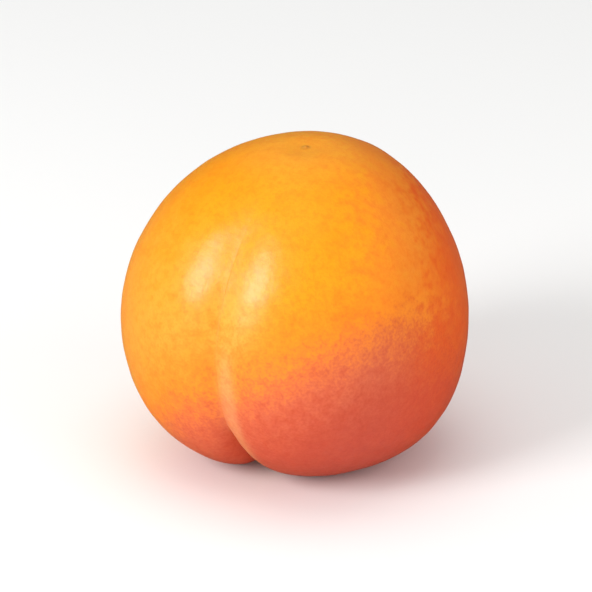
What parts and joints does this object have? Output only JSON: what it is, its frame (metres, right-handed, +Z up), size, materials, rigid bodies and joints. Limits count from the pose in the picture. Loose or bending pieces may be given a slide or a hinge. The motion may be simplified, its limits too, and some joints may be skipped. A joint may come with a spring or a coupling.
{
  "type": "apricot",
  "caption": "Whole ripe apricot standing on its stem end, with a suture from the stem cavity towards the tip; orange-yellow skin with a red blush.",
  "frame": {"origin": "on the surface that the fruit stands on, under the middle of its box", "axes": "+Z up through the tip, -Y towards the suture, +X towards the fuller cheek"},
  "size_m": [0.0502, 0.05, 0.0493],
  "materials": {
    "skin": "soft satin skin with a fine down, orange-yellow with a finely mottled red blush round the stem end"
  },
  "bodies": {
    "root": {"apricot": "skin"}
  },
  "joints": []
}
